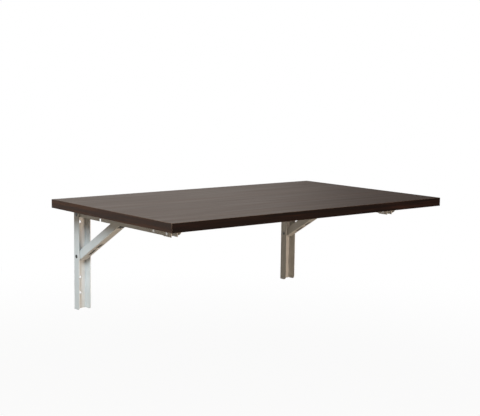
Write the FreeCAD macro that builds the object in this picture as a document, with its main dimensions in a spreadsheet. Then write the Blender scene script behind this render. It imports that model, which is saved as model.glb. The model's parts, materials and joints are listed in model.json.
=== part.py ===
import FreeCAD, Part
import math
import os

import Sketcher

# Wall mounted drop leaf table: a laminated board on two folding steel brackets.
#
# Frame: +Z is up, the wall is the plane Y = 0 and the table reaches out along -Y.
# The origin is the centre of the rectangle of outer wall screw holes, on the wall.
# Both brackets are the same part, so each piece is made twice, left and right.
#
# Side views are drawn as (out, up): out is the distance from the wall side, up is height.

SIZES = {
    # board
    "board_width": 1000.0,
    "board_depth": 600.0,
    "board_thickness": 25.0,
    "laminate_thickness": 0.8,
    "edge_band_thickness": 2.0,
    "edge_band_round": 1.0,
    "board_wall_gap": 2.0,
    # wall channels: the web lies on the wall, the flanges point out
    "channel_spacing": 812.0,
    "channel_width": 40.0,
    "channel_depth": 29.0,
    "channel_length": 305.0,
    "channel_gauge": 2.0,
    "channel_top_gap": 3.0,
    "channel_top_round": 8.0,
    "channel_tip_round": 10.0,
    "inner_bend_radius": 0.6,
    "wall_hole_radius": 4.0,
    "top_hole_drop": 45.0,
    "middle_hole_drop": 211.0,
    "bottom_hole_drop": 258.0,
    # pivots: the arm's pivot hangs under the board, the brace's pivot below it
    "pivot_reach": 15.0,
    "arm_pivot_drop": 22.5,
    "brace_pivot_drop": 126.0,
    "running_clearance": 0.05,
    "side_clearance": 0.1,
    # arms: the web lies on the underside of the board, the flanges point down
    "arm_width": 33.0,
    "arm_depth": 30.0,
    "arm_length": 490.0,
    "arm_back": 12.0,
    "arm_gauge": 2.0,
    "arm_front_round": 20.0,
    "arm_back_round": 7.4,
    "notch_half_width": 5.0,
    "notch_corner_radius": 4.0,
    # braces: the web is the lower face, the flanges point up
    "brace_width": 27.0,
    "brace_depth": 25.0,
    "brace_length": 254.0,
    "brace_back": 12.0,
    "brace_tip": 10.5,
    "brace_gauge": 2.0,
    "brace_back_round": 11.8,
    "brace_tip_round": 10.0,
    "web_cutback": 26.0,
    "slot_half_width": 5.0,
    "slot_corner_radius": 4.5,
    "middle_slot_length": 40.0,
    "bottom_slot_length": 30.0,
    "slot_lead": 9.0,
    # lock rails: narrow channels inside the arms, their lower edge is the pin's track
    "rail_width": 22.0,
    "rail_gauge": 2.0,
    "rail_lead": 33.0,
    "rail_front_gap": 11.0,
    "rail_foot_length": 34.0,
    "rail_foot_depth": 33.0,
    "rail_rivet_depth": 28.0,
    "rail_ramp": 6.0,
    "track_clearance": 0.1,
    "lock_lift": 3.0,
    "stop_depth": 5.0,
    "stop_round": 3.0,
    "lip_height": 7.0,
    "lip_end": 1.5,
    "lip_root": 11.0,
    "lip_gauge": 2.0,
    "lip_side_clearance": 0.6,
    # rivets, pins and what sits on them
    "arm_rivet_radius": 4.0,
    "arm_rivet_head_radius": 7.0,
    "brace_rivet_radius": 3.0,
    "brace_rivet_head_radius": 5.5,
    "rivet_head_height": 2.2,
    "arm_spacer_radius": 8.0,
    "brace_spacer_radius": 4.2,
    "arm_sleeve_radius": 6.0,
    "brace_sleeve_radius": 5.5,
    "rail_rivet_radius": 2.5,
    "rail_rivet_head_radius": 4.5,
    "rail_rivet_head_height": 1.2,
    "rail_rivet_drop": 23.0,
    "rail_rivet_lead": 15.0,
    "rail_rivet_inset": 23.0,
    "tip_pin_radius": 3.0,
    "tip_pin_overhang": 0.6,
    # release levers and their springs
    "lever_width": 16.0,
    "lever_gauge": 2.0,
    "lever_hub_radius": 4.5,
    "lever_pad_length": 24.0,
    "lever_pad_depth": 11.6,
    "lever_pad_round": 0.5,
    "lever_shoulder_height": 1.5,
    "lever_nose_gap": 0.4,
    "lever_nose_overlap": 1.7,
    "lever_nose_height": 2.6,
    "lever_stem_gap": 0.6,
    "spring_wire_radius": 0.4,
    "spring_radius": 3.7,
    "spring_turns": 4.0,
    "spring_pitch": 1.2,
    "spring_hook_reach": 20.0,
    "spring_hook_clearance": 0.4,
    "spring_bend_radius": 1.5,
    "spring_leg_lean": 18.0,
    # screws that hold the arms to the board
    "screw_radius": 2.0,
    "screw_head_radius": 4.2,
    "screw_head_height": 2.2,
    "screw_length": 16.0,
    "screw_hole_clearance": 0.3,
    "first_screw_reach": 30.0,
    "second_screw_reach": 160.0,
    "third_screw_reach": 300.0,
    "last_screw_inset": 53.0,
}

SIDES = {"left": -1, "right": 1}

# shares of a head's height, or of a pin's radius, that are rounded off
RIVET_DOME = 0.8
SCREW_HEAD_ROUND = 0.6
PIN_END_ROUND = 0.2


class Size:
    """A length that carries both its number and the sheet expression that gives it."""

    def __init__(self, number, text):
        self.number = number
        self.text = text

    def __add__(self, other):
        return combine(self, "+", other)

    def __sub__(self, other):
        return combine(self, "-", other)

    def __mul__(self, other):
        return combine(self, "*", other)

    def __truediv__(self, other):
        return combine(self, "/", other)

    def __neg__(self):
        return combine(0, "-", self)


def as_size(value):
    """Give a plain number the form of a Size."""
    if isinstance(value, Size):
        return value
    return Size(float(value), str(float(value)))


def combine(left, sign, right):
    """Join two sizes by one of the four signs, in number and in text."""
    left = as_size(left)
    right = as_size(right)
    results = {
        "+": lambda: left.number + right.number,
        "-": lambda: left.number - right.number,
        "*": lambda: left.number * right.number,
        "/": lambda: left.number / right.number,
    }
    return Size(results[sign](), f"({left.text} {sign} {right.text})")


def root(size):
    """The square root of a size."""
    return Size(math.sqrt(size.number), f"sqrt({size.text})")


def make_sheet():
    """Fill the sheet with the driving sizes, one alias each."""
    sheet = document.addObject("Spreadsheet::Sheet", "Sizes")
    for row, (alias, value) in enumerate(SIZES.items(), start=1):
        sheet.set(f"A{row}", alias.replace("_", " "))
        sheet.set(f"B{row}", str(value))
        sheet.setAlias(f"B{row}", alias)
    document.recompute()
    return {alias: Size(value, f"Sizes.{alias}") for alias, value in SIZES.items()}


# ---------------------------------------------------------------- drawing helpers


def new_body(label, x=0, y=0, z=0, tilt=None):
    """Make a body at a place bound to the sheet, tilted about X where a tilt is given."""
    body = document.addObject("PartDesign::Body", label)
    body.Label = label
    if tilt is not None:
        about_x = FreeCAD.Rotation(FreeCAD.Vector(1, 0, 0), 1)
        body.Placement = FreeCAD.Placement(FreeCAD.Vector(), about_x)
        body.setExpression("Placement.Rotation.Angle", tilt)
    for axis, value in (("x", x), ("y", y), ("z", z)):
        body.setExpression(f"Placement.Base.{axis}", as_size(value).text)
    return body


def new_sketch(body, plane, height=0):
    """Make a sketch on one of the body's own origin planes, lifted by height along its normal."""
    sketch = body.newObject("Sketcher::SketchObject", f"{body.Name}_sketch")
    support = next(item for item in body.Origin.OriginFeatures if item.Role == plane)
    sketch.AttachmentSupport = [(support, "")]
    sketch.MapMode = "FlatFace"
    sketch.setExpression("AttachmentOffset.Base.z", as_size(height).text)
    return sketch


def pin_point(sketch, geometry, position, x, y):
    """Hold one point of a sketch at x, y, both bound to the sheet."""
    for kind, value in (("DistanceX", x), ("DistanceY", y)):
        constraint = Sketcher.Constraint(kind, -1, 1, geometry, position, value.number)
        index = sketch.addConstraint(constraint)
        sketch.setExpression(f"Constraints[{index}]", value.text)


def draw_circle(sketch, x, y, radius):
    """Add a circle held by its centre and radius."""
    x, y, radius = as_size(x), as_size(y), as_size(radius)
    centre = FreeCAD.Vector(x.number, y.number, 0)
    circle = sketch.addGeometry(Part.Circle(centre, FreeCAD.Vector(0, 0, 1), radius.number), False)
    index = sketch.addConstraint(Sketcher.Constraint("Radius", circle, radius.number))
    sketch.setExpression(f"Constraints[{index}]", radius.text)
    pin_point(sketch, circle, 3, x, y)


def setback(before, corner, after, radius):
    """How far a rounded corner's arc starts from the sharp corner."""
    first = (before - corner).normalize()
    second = (after - corner).normalize()
    return radius / math.tan(first.getAngle(second) / 2)


def draw_outline(sketch, corners):
    """Add a closed outline through corners, each (x, y) or (x, y, radius of the rounding)."""
    corners = [tuple(as_size(value) for value in corner) for corner in corners]
    points = [FreeCAD.Vector(corner[0].number, corner[1].number, 0) for corner in corners]
    count = len(corners)
    cuts = []
    for i, corner in enumerate(corners):
        radius = corner[2].number if len(corner) == 3 else 0
        after = points[(i + 1) % count]
        cuts.append(setback(points[i - 1], points[i], after, radius) if radius else 0)

    lines = []
    for i in range(count):
        after = (i + 1) % count
        along = (points[after] - points[i]).normalize()
        segment = Part.LineSegment(points[i] + along * cuts[i], points[after] - along * cuts[after])
        lines.append(sketch.addGeometry(segment, False))

    for i, corner in enumerate(corners):
        if len(corner) == 3:
            round_corner(sketch, lines[i - 1], lines[i], corner)
        else:
            sketch.addConstraint(Sketcher.Constraint("Coincident", lines[i - 1], 2, lines[i], 1))
            pin_point(sketch, lines[i], 1, corner[0], corner[1])


def round_corner(sketch, line_in, line_out, corner):
    """Join two lines by a tangent arc, and hold the sharp corner that they would have met in."""
    x, y, radius = corner
    start = sketch.getPoint(line_in, 2)
    end = sketch.getPoint(line_out, 1)
    sharp = FreeCAD.Vector(x.number, y.number, 0)
    middle = (start + end) * 0.5
    reach = math.hypot(radius.number, (start - sharp).Length)
    centre = sharp + (middle - sharp).normalize() * reach
    turns_left = (sharp - start).cross(end - sharp).z > 0
    first, last = (start, end) if turns_left else (end, start)
    angles = [math.atan2(point.y - centre.y, point.x - centre.x) for point in (first, last)]
    circle = Part.Circle(centre, FreeCAD.Vector(0, 0, 1), radius.number)
    arc = sketch.addGeometry(Part.ArcOfCircle(circle, angles[0], angles[1]), False)
    at_in, at_out = (1, 2) if turns_left else (2, 1)

    point = sketch.addGeometry(Part.Point(sharp), True)
    pin_point(sketch, point, 1, x, y)
    sketch.addConstraint(Sketcher.Constraint("PointOnObject", point, 1, line_in))
    sketch.addConstraint(Sketcher.Constraint("PointOnObject", point, 1, line_out))
    sketch.addConstraint(Sketcher.Constraint("Tangent", line_in, 2, arc, at_in))
    sketch.addConstraint(Sketcher.Constraint("Tangent", line_out, 1, arc, at_out))
    index = sketch.addConstraint(Sketcher.Constraint("Radius", arc, radius.number))
    sketch.setExpression(f"Constraints[{index}]", radius.text)


def side_outline(body, corners, height=0):
    """Sketch a side view outline, whose corners are (out, up) or (out, up, radius)."""
    sketch = new_sketch(body, "YZ_Plane", height)
    draw_outline(sketch, [(-as_size(corner[0]), *corner[1:]) for corner in corners])
    return sketch


def side_circles(body, circles):
    """Sketch side view circles, each (out, up, radius)."""
    sketch = new_sketch(body, "YZ_Plane")
    for out, up, radius in circles:
        draw_circle(sketch, -as_size(out), up, radius)
    return sketch


def pad(body, sketch, length, symmetric=False):
    """Raise a sketch along its normal, or by half the length to each side of its plane."""
    feature = body.newObject("PartDesign::Pad", f"{body.Name}_pad")
    feature.Profile = sketch
    if symmetric:
        feature.SideType = "Symmetric"
    feature.setExpression("Length", as_size(length).text)
    return feature


def cut_through(body, sketch):
    """Cut a sketch through the whole body, to both sides of its plane."""
    feature = body.newObject("PartDesign::Pocket", f"{body.Name}_cut")
    feature.Profile = sketch
    feature.SideType = "Symmetric"
    feature.Type = "ThroughAll"
    return feature


def cut_width(body, sketch, length):
    """Cut a sketch by half the length to each side of its plane."""
    feature = body.newObject("PartDesign::Pocket", f"{body.Name}_cut")
    feature.Profile = sketch
    feature.SideType = "Symmetric"
    feature.setExpression("Length", as_size(length).text)
    return feature


def revolve(body, sketch):
    """Turn a sketch once about its own horizontal axis."""
    feature = body.newObject("PartDesign::Revolution", f"{body.Name}_turn")
    feature.Profile = sketch
    feature.ReferenceAxis = (sketch, ["H_Axis"])
    feature.Angle = 360
    return feature


def round_edges(body, radius, wanted):
    """Round the edges of the body's last feature whose middle point passes a test."""
    document.recompute()
    base = body.Tip
    names = []
    for number, edge in enumerate(base.Shape.Edges, start=1):
        if wanted(edge.BoundBox):
            names.append(f"Edge{number}")
    feature = body.newObject("PartDesign::Fillet", f"{body.Name}_round")
    feature.Base = (base, names)
    feature.setExpression("Radius", as_size(radius).text)
    return feature


def near(value, size):
    """Whether a coordinate of the model lies at a size."""
    return abs(value - as_size(size).number) < 0.01


def hollow_channel(body, width, gauge, web_inside, open_end):
    """Cut the inside of a channel that runs along Y, from the web to past the flanges' edges."""
    half = width / 2 - gauge
    sketch = new_sketch(body, "XZ_Plane")
    corners = [
        (-half, web_inside, size["inner_bend_radius"]),
        (half, web_inside, size["inner_bend_radius"]),
        (half, open_end),
        (-half, open_end),
    ]
    draw_outline(sketch, corners)
    return cut_through(body, sketch)


# ---------------------------------------------------------------- the board


def board_body(label, lift=0):
    """A body at the middle of the board's underside, raised by lift."""
    return new_body(label, 0, -(size["board_wall_gap"] + size["board_depth"] / 2), underside + lift)


def rectangle(body, x_low, x_high, y_low, y_high):
    """Sketch a plan view rectangle."""
    sketch = new_sketch(body, "XY_Plane")
    draw_outline(sketch, [(x_low, y_low), (x_high, y_low), (x_high, y_high), (x_low, y_high)])
    return sketch


def screw_reaches():
    """How far out each screw of an arm stands from the arm pivot, and if it is on the rail."""
    return [
        (size["first_screw_reach"], False),
        (size["second_screw_reach"], False),
        (size["third_screw_reach"], True),
        (arm_front - size["last_screw_inset"], True),
    ]


def drill_pilots(body, on_rail, depth):
    """Drill the screws' pilot holes up into a board layer."""
    sketch = new_sketch(body, "XY_Plane")
    middle = size["board_wall_gap"] + size["board_depth"] / 2
    for sign in SIDES.values():
        x = size["channel_spacing"] / 2 * sign
        for reach, screw_on_rail in screw_reaches():
            if screw_on_rail == on_rail:
                draw_circle(sketch, x, middle - size["pivot_reach"] - reach, size["screw_radius"])
    feature = body.newObject("PartDesign::Pocket", f"{body.Name}_pilots")
    feature.Profile = sketch
    feature.Reversed = True
    feature.setExpression("Length", depth.text)
    return feature


def make_tabletop_core():
    """The chipboard slab, with the screws' pilot holes in its underside."""
    body = board_body("tabletop_core", size["laminate_thickness"])
    half_width = size["board_width"] / 2 - size["edge_band_thickness"]
    half_depth = size["board_depth"] / 2 - size["edge_band_thickness"]
    pad(body, rectangle(body, -half_width, half_width, -half_depth, half_depth), core_thickness)
    for on_rail, bite in ((False, arm_bite), (True, rail_bite)):
        drill_pilots(body, on_rail, bite - size["laminate_thickness"])


def make_laminates():
    """The thin sheets over and under the core."""
    half_width = size["board_width"] / 2 - size["edge_band_thickness"]
    half_depth = size["board_depth"] / 2 - size["edge_band_thickness"]
    thickness = size["laminate_thickness"]
    top = board_body("top_laminate", size["board_thickness"] - thickness)
    bottom = board_body("bottom_laminate")
    for body in (top, bottom):
        pad(body, rectangle(body, -half_width, half_width, -half_depth, half_depth), thickness)
    for on_rail in (False, True):
        drill_pilots(bottom, on_rail, thickness)


def make_long_edge_bands():
    """The front and back bands, which run the full width and cover the short bands' ends."""
    half_width = size["board_width"] / 2
    outer = size["board_depth"] / 2
    inner = outer - size["edge_band_thickness"]
    for label, sign in (("front_edge_band", -1), ("back_edge_band", 1)):
        body = board_body(label)
        strip = rectangle(body, -half_width, half_width, outer * sign, inner * sign)
        pad(body, strip, size["board_thickness"])
        face = outer * sign
        round_edges(
            body,
            size["edge_band_round"],
            lambda box: near(box.YMin, face) and near(box.YMax, face),
        )


def make_short_edge_bands():
    """The left and right bands, between the long ones."""
    outer = size["board_width"] / 2
    inner = outer - size["edge_band_thickness"]
    half_depth = size["board_depth"] / 2 - size["edge_band_thickness"]
    for side, sign in SIDES.items():
        body = board_body(f"{side}_edge_band")
        strip = rectangle(body, inner * sign, outer * sign, -half_depth, half_depth)
        pad(body, strip, size["board_thickness"])
        face = outer * sign
        long_edge = half_depth * 2
        round_edges(
            body,
            size["edge_band_round"],
            lambda box: near(box.XMin, face) and near(box.XMax, face) and near(box.YLength, long_edge),
        )


# ---------------------------------------------------------------- wall channel and arm


def make_wall_channel(side, x):
    """The upright channel: pressed flanges with rounded ends, three wall screw holes."""
    body = new_body(f"{side}_wall_channel", x, 0, channel_top)
    width, depth, length = size["channel_width"], size["channel_depth"], size["channel_length"]
    outline = [
        (0, 0),
        (depth, 0, size["channel_top_round"]),
        (depth, -length, size["channel_tip_round"]),
        (0, -length),
    ]
    pad(body, side_outline(body, outline), width, symmetric=True)
    round_edges(
        body,
        size["inner_bend_radius"] + size["channel_gauge"],
        lambda box: near(box.YMin, 0) and near(box.YMax, 0) and box.ZLength > 1,
    )

    half = width / 2 - size["channel_gauge"]
    inside = new_sketch(body, "XY_Plane")
    corners = [
        (-half, -size["channel_gauge"], size["inner_bend_radius"]),
        (half, -size["channel_gauge"], size["inner_bend_radius"]),
        (half, -depth - size["channel_gauge"]),
        (-half, -depth - size["channel_gauge"]),
    ]
    draw_outline(inside, corners)
    cut_through(body, inside)

    screw_holes = new_sketch(body, "XZ_Plane")
    for drop in ("top_hole_drop", "middle_hole_drop", "bottom_hole_drop"):
        draw_circle(screw_holes, 0, -size[drop], size["wall_hole_radius"])
    cut_through(body, screw_holes)

    arm_pivot_down = size["arm_pivot_drop"] - size["channel_top_gap"]
    pivots = [
        (size["pivot_reach"], -arm_pivot_down, size["arm_rivet_radius"]),
        (size["pivot_reach"], -arm_pivot_down - size["brace_pivot_drop"], size["brace_rivet_radius"]),
    ]
    cut_through(body, side_circles(body, pivots))


def make_arm_channel(side, x):
    """The arm, with a notch in its lower edge that the brace's bushes enter when it folds."""
    body = new_body(f"{side}_arm_channel", x, -size["pivot_reach"], arm_pivot_up)
    top = size["arm_pivot_drop"]
    low = top - size["arm_depth"]
    outline = [
        (-size["arm_back"], top),
        (arm_front, top),
        (arm_front, low, size["arm_front_round"]),
        (-size["arm_back"], low, size["arm_back_round"]),
    ]
    pad(body, side_outline(body, outline), size["arm_width"], symmetric=True)
    round_edges(
        body,
        size["inner_bend_radius"] + size["arm_gauge"],
        lambda box: near(box.ZMin, top) and near(box.ZMax, top) and box.YLength > 1,
    )
    gauge = size["arm_gauge"]
    hollow_channel(body, size["arm_width"], gauge, top - gauge, low - gauge)

    middle, half = size["brace_pivot_drop"], size["notch_half_width"]
    notch = [
        (middle - half, low * 2),
        (middle + half, low * 2),
        (middle + half, half, size["notch_corner_radius"]),
        (middle - half, half, size["notch_corner_radius"]),
    ]
    cut_through(body, side_outline(body, notch))

    holes = [(0, 0, size["arm_rivet_radius"] + size["running_clearance"])]
    for reach in rail_rivet_reaches:
        holes.append((reach, rail_rivet_up, size["rail_rivet_radius"]))
    cut_through(body, side_circles(body, holes))
    drill_screw_holes(body, (False, True))


def drill_screw_holes(body, kinds):
    """Drill the clearance holes of the arm screws through a web that runs along Y."""
    sketch = new_sketch(body, "XY_Plane")
    for reach, on_rail in screw_reaches():
        if on_rail in kinds:
            draw_circle(sketch, 0, -reach, size["screw_radius"] + size["screw_hole_clearance"])
    cut_through(body, sketch)


def make_lock_rail(side, x):
    """The rail in the arm: pin track along its edge, locking notch, end stops and catch lip."""
    body = new_body(f"{side}_lock_rail", x, -size["pivot_reach"], arm_pivot_up)
    under = size["arm_pivot_drop"]
    top = under - size["arm_gauge"]
    notch_radius = size["tip_pin_radius"] + size["track_clearance"]
    start = locked_reach - size["rail_lead"]
    end = arm_front - size["rail_front_gap"]
    foot = end - size["rail_foot_length"]
    track_end = folded_reach + notch_radius
    stop_low = size["lock_lift"] - size["stop_depth"]
    outline = [
        (start, top),
        (end, top),
        (end, under - size["rail_foot_depth"]),
        (foot, under - size["rail_foot_depth"]),
        (foot - size["rail_ramp"], under - size["rail_rivet_depth"]),
        (track_end, under - size["rail_rivet_depth"], size["stop_round"]),
        (track_end, notch_radius),
        (locked_reach - notch_radius, notch_radius),
        (locked_reach - notch_radius, stop_low),
        (start, stop_low, size["stop_round"]),
    ]
    pad(body, side_outline(body, outline), size["rail_width"], symmetric=True)
    web_inside = top - size["rail_gauge"]
    below_foot = under - size["rail_foot_depth"] * 2
    hollow_channel(body, size["rail_width"], size["rail_gauge"], web_inside, below_foot)

    holes = [(locked_reach, size["lock_lift"], notch_radius)]
    for reach in rail_rivet_reaches:
        holes.append((reach, rail_rivet_up, size["rail_rivet_radius"]))
    cut_through(body, side_circles(body, holes))

    root_out = locked_reach - size["lip_root"]
    lip_top = size["lock_lift"] + size["lip_height"]
    lip = [
        (root_out, web_inside + size["rail_gauge"] / 2),
        (root_out + size["lip_gauge"], web_inside + size["rail_gauge"] / 2),
        (root_out + size["lip_gauge"], lip_top),
        (locked_reach - size["lip_end"], lip_top),
        (locked_reach - size["lip_end"], lip_top - size["lip_gauge"]),
        (root_out, lip_top - size["lip_gauge"], size["lip_gauge"] / 2),
    ]
    lip_width = size["rail_width"] - size["rail_gauge"] * 2 - size["lip_side_clearance"] * 2
    pad(body, side_outline(body, lip), lip_width, symmetric=True)
    drill_screw_holes(body, (True,))


# ---------------------------------------------------------------- brace


def make_brace_channel(side, x):
    """The strut: its web ends short of the tip, and its slots clear the wall screws when folded.

    The middle of each slot lies nearer to the pivot than the screw that it clears.
    """
    body = new_body(f"{side}_brace_channel", x, -size["pivot_reach"], brace_pivot_up, tilt=brace_tilt)
    half_depth = size["brace_depth"] / 2
    tip = size["brace_length"] + size["brace_tip"]
    outline = [
        (-size["brace_back"], half_depth, size["brace_back_round"]),
        (tip, half_depth, size["brace_tip_round"]),
        (tip, -half_depth, size["brace_tip_round"]),
        (-size["brace_back"], -half_depth, size["brace_back_round"]),
    ]
    pad(body, side_outline(body, outline), size["brace_width"], symmetric=True)
    round_edges(
        body,
        size["inner_bend_radius"] + size["brace_gauge"],
        lambda box: near(box.ZMin, -half_depth) and near(box.ZMax, -half_depth) and box.YLength > 1,
    )
    web_inside = size["brace_gauge"] - half_depth
    hollow_channel(body, size["brace_width"], size["brace_gauge"], web_inside, size["brace_depth"])

    half_inside = size["brace_width"] / 2 - size["brace_gauge"]
    web_end = size["brace_length"] - size["web_cutback"]
    cutback = rectangle(body, -half_inside, half_inside, -tip - size["brace_gauge"], -web_end)
    cut_through(body, cutback)

    slots = new_sketch(body, "XY_Plane")
    brace_drop = size["arm_pivot_drop"] - size["channel_top_gap"] + size["brace_pivot_drop"]
    for hole in ("middle", "bottom"):
        screw_reach = size[f"{hole}_hole_drop"] - brace_drop
        draw_slot(slots, screw_reach - size["slot_lead"], size[f"{hole}_slot_length"] / 2)
    cut_through(body, slots)

    holes = [
        (0, 0, size["brace_rivet_radius"] + size["running_clearance"]),
        (size["brace_length"], 0, size["tip_pin_radius"]),
    ]
    cut_through(body, side_circles(body, holes))

    hook_out = size["brace_length"] - size["spring_hook_reach"]
    hook_bore = size["spring_wire_radius"] + size["spring_hook_clearance"]
    hook_hole = (hook_out, size["spring_radius"], hook_bore)
    feature = body.newObject("PartDesign::Pocket", f"{body.Name}_hook_hole")
    feature.Profile = side_circles(body, [hook_hole])
    feature.setExpression("Length", size["brace_width"].text)


def draw_slot(sketch, middle, half_length):
    """Add a rounded slot that runs along the brace, centred on the middle."""
    half = size["slot_half_width"]
    radius = size["slot_corner_radius"]
    corners = [
        (-half, -middle - half_length, radius),
        (half, -middle - half_length, radius),
        (half, -middle + half_length, radius),
        (-half, -middle + half_length, radius),
    ]
    draw_outline(sketch, corners)


# ---------------------------------------------------------------- pins, rivets and spacers


def rivet_outline(body, grip, shank, head, height):
    """Sketch half of a rivet along X: a shank with a domed head at each end."""
    half = grip / 2
    sketch = new_sketch(body, "XY_Plane")
    corners = [
        (-half - height, 0),
        (-half - height, head, height * RIVET_DOME),
        (-half, head),
        (-half, shank),
        (half, shank),
        (half, head),
        (half + height, head, height * RIVET_DOME),
        (half + height, 0),
    ]
    draw_outline(sketch, corners)
    return sketch


def make_pivot_rivet(label, x, up, shank, head):
    """A rivet through both flanges of the wall channel."""
    body = new_body(label, x, -size["pivot_reach"], up)
    revolve(body, rivet_outline(body, size["channel_width"], shank, head, size["rivet_head_height"]))


def make_spacers(label, x, up, inner_width, outer_radius, bore):
    """Two tubes on a pivot rivet, between an inner channel and the wall channel's flanges."""
    body = new_body(label, x, -size["pivot_reach"], up)
    low = inner_width / 2 + size["side_clearance"]
    high = size["channel_width"] / 2 - size["channel_gauge"] - size["side_clearance"]
    sketch = new_sketch(body, "XY_Plane")
    for sign in SIDES.values():
        corners = [
            (low * sign, bore),
            (high * sign, bore),
            (high * sign, outer_radius),
            (low * sign, outer_radius),
        ]
        draw_outline(sketch, corners)
    revolve(body, sketch)


def make_sleeve(label, x, up, half_length, outer_radius, bore):
    """One tube on a pivot rivet, between the flanges of an inner channel."""
    body = new_body(label, x, -size["pivot_reach"], up)
    sketch = new_sketch(body, "XY_Plane")
    corners = [
        (-half_length, bore),
        (half_length, bore),
        (half_length, outer_radius),
        (-half_length, outer_radius),
    ]
    draw_outline(sketch, corners)
    revolve(body, sketch)


def make_rail_rivets(side, x):
    """The two rivets that hold the rail in the arm."""
    inner_reach, outer_reach = rail_rivet_reaches
    out = size["pivot_reach"] + inner_reach
    body = new_body(f"{side}_rail_rivets", x, -out, arm_pivot_up + rail_rivet_up)
    sketch = rivet_outline(
        body,
        size["arm_width"],
        size["rail_rivet_radius"],
        size["rail_rivet_head_radius"],
        size["rail_rivet_head_height"],
    )
    turned = revolve(body, sketch)
    pattern = body.newObject("PartDesign::LinearPattern", f"{body.Name}_pattern")
    pattern.Originals = [turned]
    axis = next(item for item in body.Origin.OriginFeatures if item.Role == "Y_Axis")
    pattern.Direction = (axis, [""])
    pattern.Reversed = True
    pattern.Occurrences = 2
    pattern.setExpression("Length", (outer_reach - inner_reach).text)
    body.Tip = pattern


def make_tip_pin(side, x):
    """The cross pin at the brace's tip, with eased ends."""
    body = new_body(f"{side}_tip_pin", x, -tip_out, tip_up)
    half = size["brace_width"] / 2 + size["tip_pin_overhang"]
    radius = size["tip_pin_radius"]
    eased = radius * PIN_END_ROUND
    sketch = new_sketch(body, "XY_Plane")
    draw_outline(sketch, [(-half, 0), (-half, radius, eased), (half, radius, eased), (half, 0)])
    revolve(body, sketch)


def make_arm_screws(side, x):
    """Four pan-head screws up through the arm, two of them through the rail as well."""
    body = new_body(f"{side}_arm_screws", x, -size["pivot_reach"], underside)
    for on_rail, seat in ((False, size["arm_gauge"]), (True, size["arm_gauge"] + size["rail_gauge"])):
        heads = new_sketch(body, "XY_Plane", -seat - size["screw_head_height"])
        shanks = new_sketch(body, "XY_Plane", -seat)
        for reach, screw_on_rail in screw_reaches():
            if screw_on_rail == on_rail:
                draw_circle(heads, 0, -reach, size["screw_head_radius"])
                draw_circle(shanks, 0, -reach, size["screw_radius"])
        pad(body, heads, size["screw_head_height"])
        pad(body, shanks, size["screw_length"])
        low = -seat - size["screw_head_height"]
        round_edges(
            body,
            size["screw_head_height"] * SCREW_HEAD_ROUND,
            lambda box: near(box.ZMin, low) and near(box.ZMax, low),
        )


# ---------------------------------------------------------------- release lever


def along_brace(out, up):
    """A point near the tip pin, given along and across the brace, turned to level axes."""
    return out * slope_cosine - up * slope_sine, out * slope_sine + up * slope_cosine


def make_release_lever(side, x):
    """The rocker on the tip pin: a thumb pad in the brace's open end, two hooks over the lip."""
    body = new_body(f"{side}_release_lever", x, -tip_out, tip_up)
    hub = size["lever_hub_radius"]
    depth = size["lever_pad_depth"]
    pad_top = size["lever_gauge"] - depth
    nose_low = size["lip_height"] + size["lever_nose_gap"]
    nose_high = nose_low + size["lever_nose_height"]
    stem = size["lever_stem_gap"] - size["lip_end"]
    nose = -size["lip_end"] - size["lever_nose_overlap"]
    hub_top = size["lip_height"] - size["lip_gauge"] - size["lever_stem_gap"]
    pad_round = size["lever_pad_round"]
    outline = [
        (*along_brace(-size["lever_pad_length"], pad_top), pad_round),
        (*along_brace(-size["lever_pad_length"], -depth), pad_round),
        (*along_brace(hub, -depth), hub),
        (hub, nose_low, hub),
        (stem + size["lever_nose_height"], nose_high),
        (stem, nose_high),
        (nose, nose_low),
        (stem, nose_low),
        (stem, hub_top),
        (-hub, size["lever_shoulder_height"]),
        (-hub, -hub),
    ]
    pad(body, side_outline(body, outline), size["lever_width"], symmetric=True)

    far = size["lever_pad_length"] * 2
    between_ears = [
        along_brace(-far, pad_top),
        along_brace(far, pad_top),
        along_brace(far, far),
        along_brace(-far, far),
    ]
    ear_gap = size["lever_width"] - size["lever_gauge"] * 2
    cut_width(body, side_outline(body, between_ears), ear_gap)
    bore = size["tip_pin_radius"] + size["running_clearance"]
    cut_through(body, side_circles(body, [(0, 0, bore)]))


def half_turn(radius, low, rise, from_far_side, sweep):
    """Half a turn of a coil about Z as one tilted arc, so that turns meet smoothly on Y."""
    start = FreeCAD.Vector(0, radius if from_far_side else -radius, low)
    end = FreeCAD.Vector(0, -start.y, low + rise)
    centre = (start + end) * 0.5
    sideways = FreeCAD.Vector(-1 if from_far_side else 1, 0, 0) * (start - centre).Length
    points = [
        centre + (start - centre) * math.cos(angle) + sideways * math.sin(angle)
        for angle in (0, sweep / 2, sweep)
    ]
    return Part.Arc(*points)


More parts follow.
